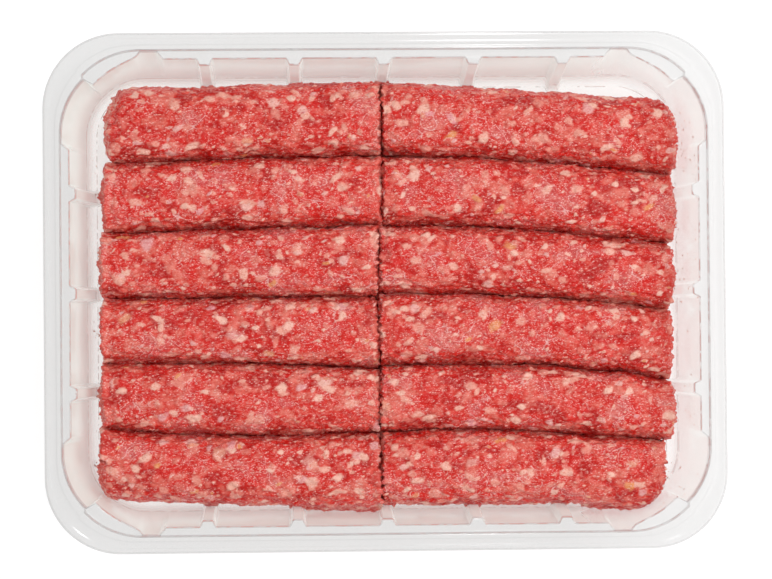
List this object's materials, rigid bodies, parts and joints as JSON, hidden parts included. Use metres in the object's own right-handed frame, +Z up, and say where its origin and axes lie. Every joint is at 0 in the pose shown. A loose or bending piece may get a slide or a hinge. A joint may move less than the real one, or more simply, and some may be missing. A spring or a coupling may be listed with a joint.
{
  "type": "meat tray pack",
  "caption": "Open clear plastic food tray packed tight with raw minced-meat rolls lying side by side in two columns.",
  "frame": {"origin": "on the surface the tray stands on, under the centre of its outline", "axes": "+X along the tray's long side and along the rolls, +Z up out of the tray's mouth"},
  "size_m": [0.23, 0.175, 0.04],
  "materials": {
    "clear_plastic": "clear thermoformed sheet, glossy",
    "raw_mince": "moist coarse mince with pale fat flecks"
  },
  "bodies": {
    "root": {"tray": "clear_plastic", "roll_left_1": "raw_mince", "roll_left_2": "raw_mince", "roll_left_3": "raw_mince", "roll_left_4": "raw_mince", "roll_left_5": "raw_mince", "roll_left_6": "raw_mince", "roll_right_1": "raw_mince", "roll_right_2": "raw_mince", "roll_right_3": "raw_mince", "roll_right_4": "raw_mince", "roll_right_5": "raw_mince", "roll_right_6": "raw_mince"}
  },
  "joints": []
}
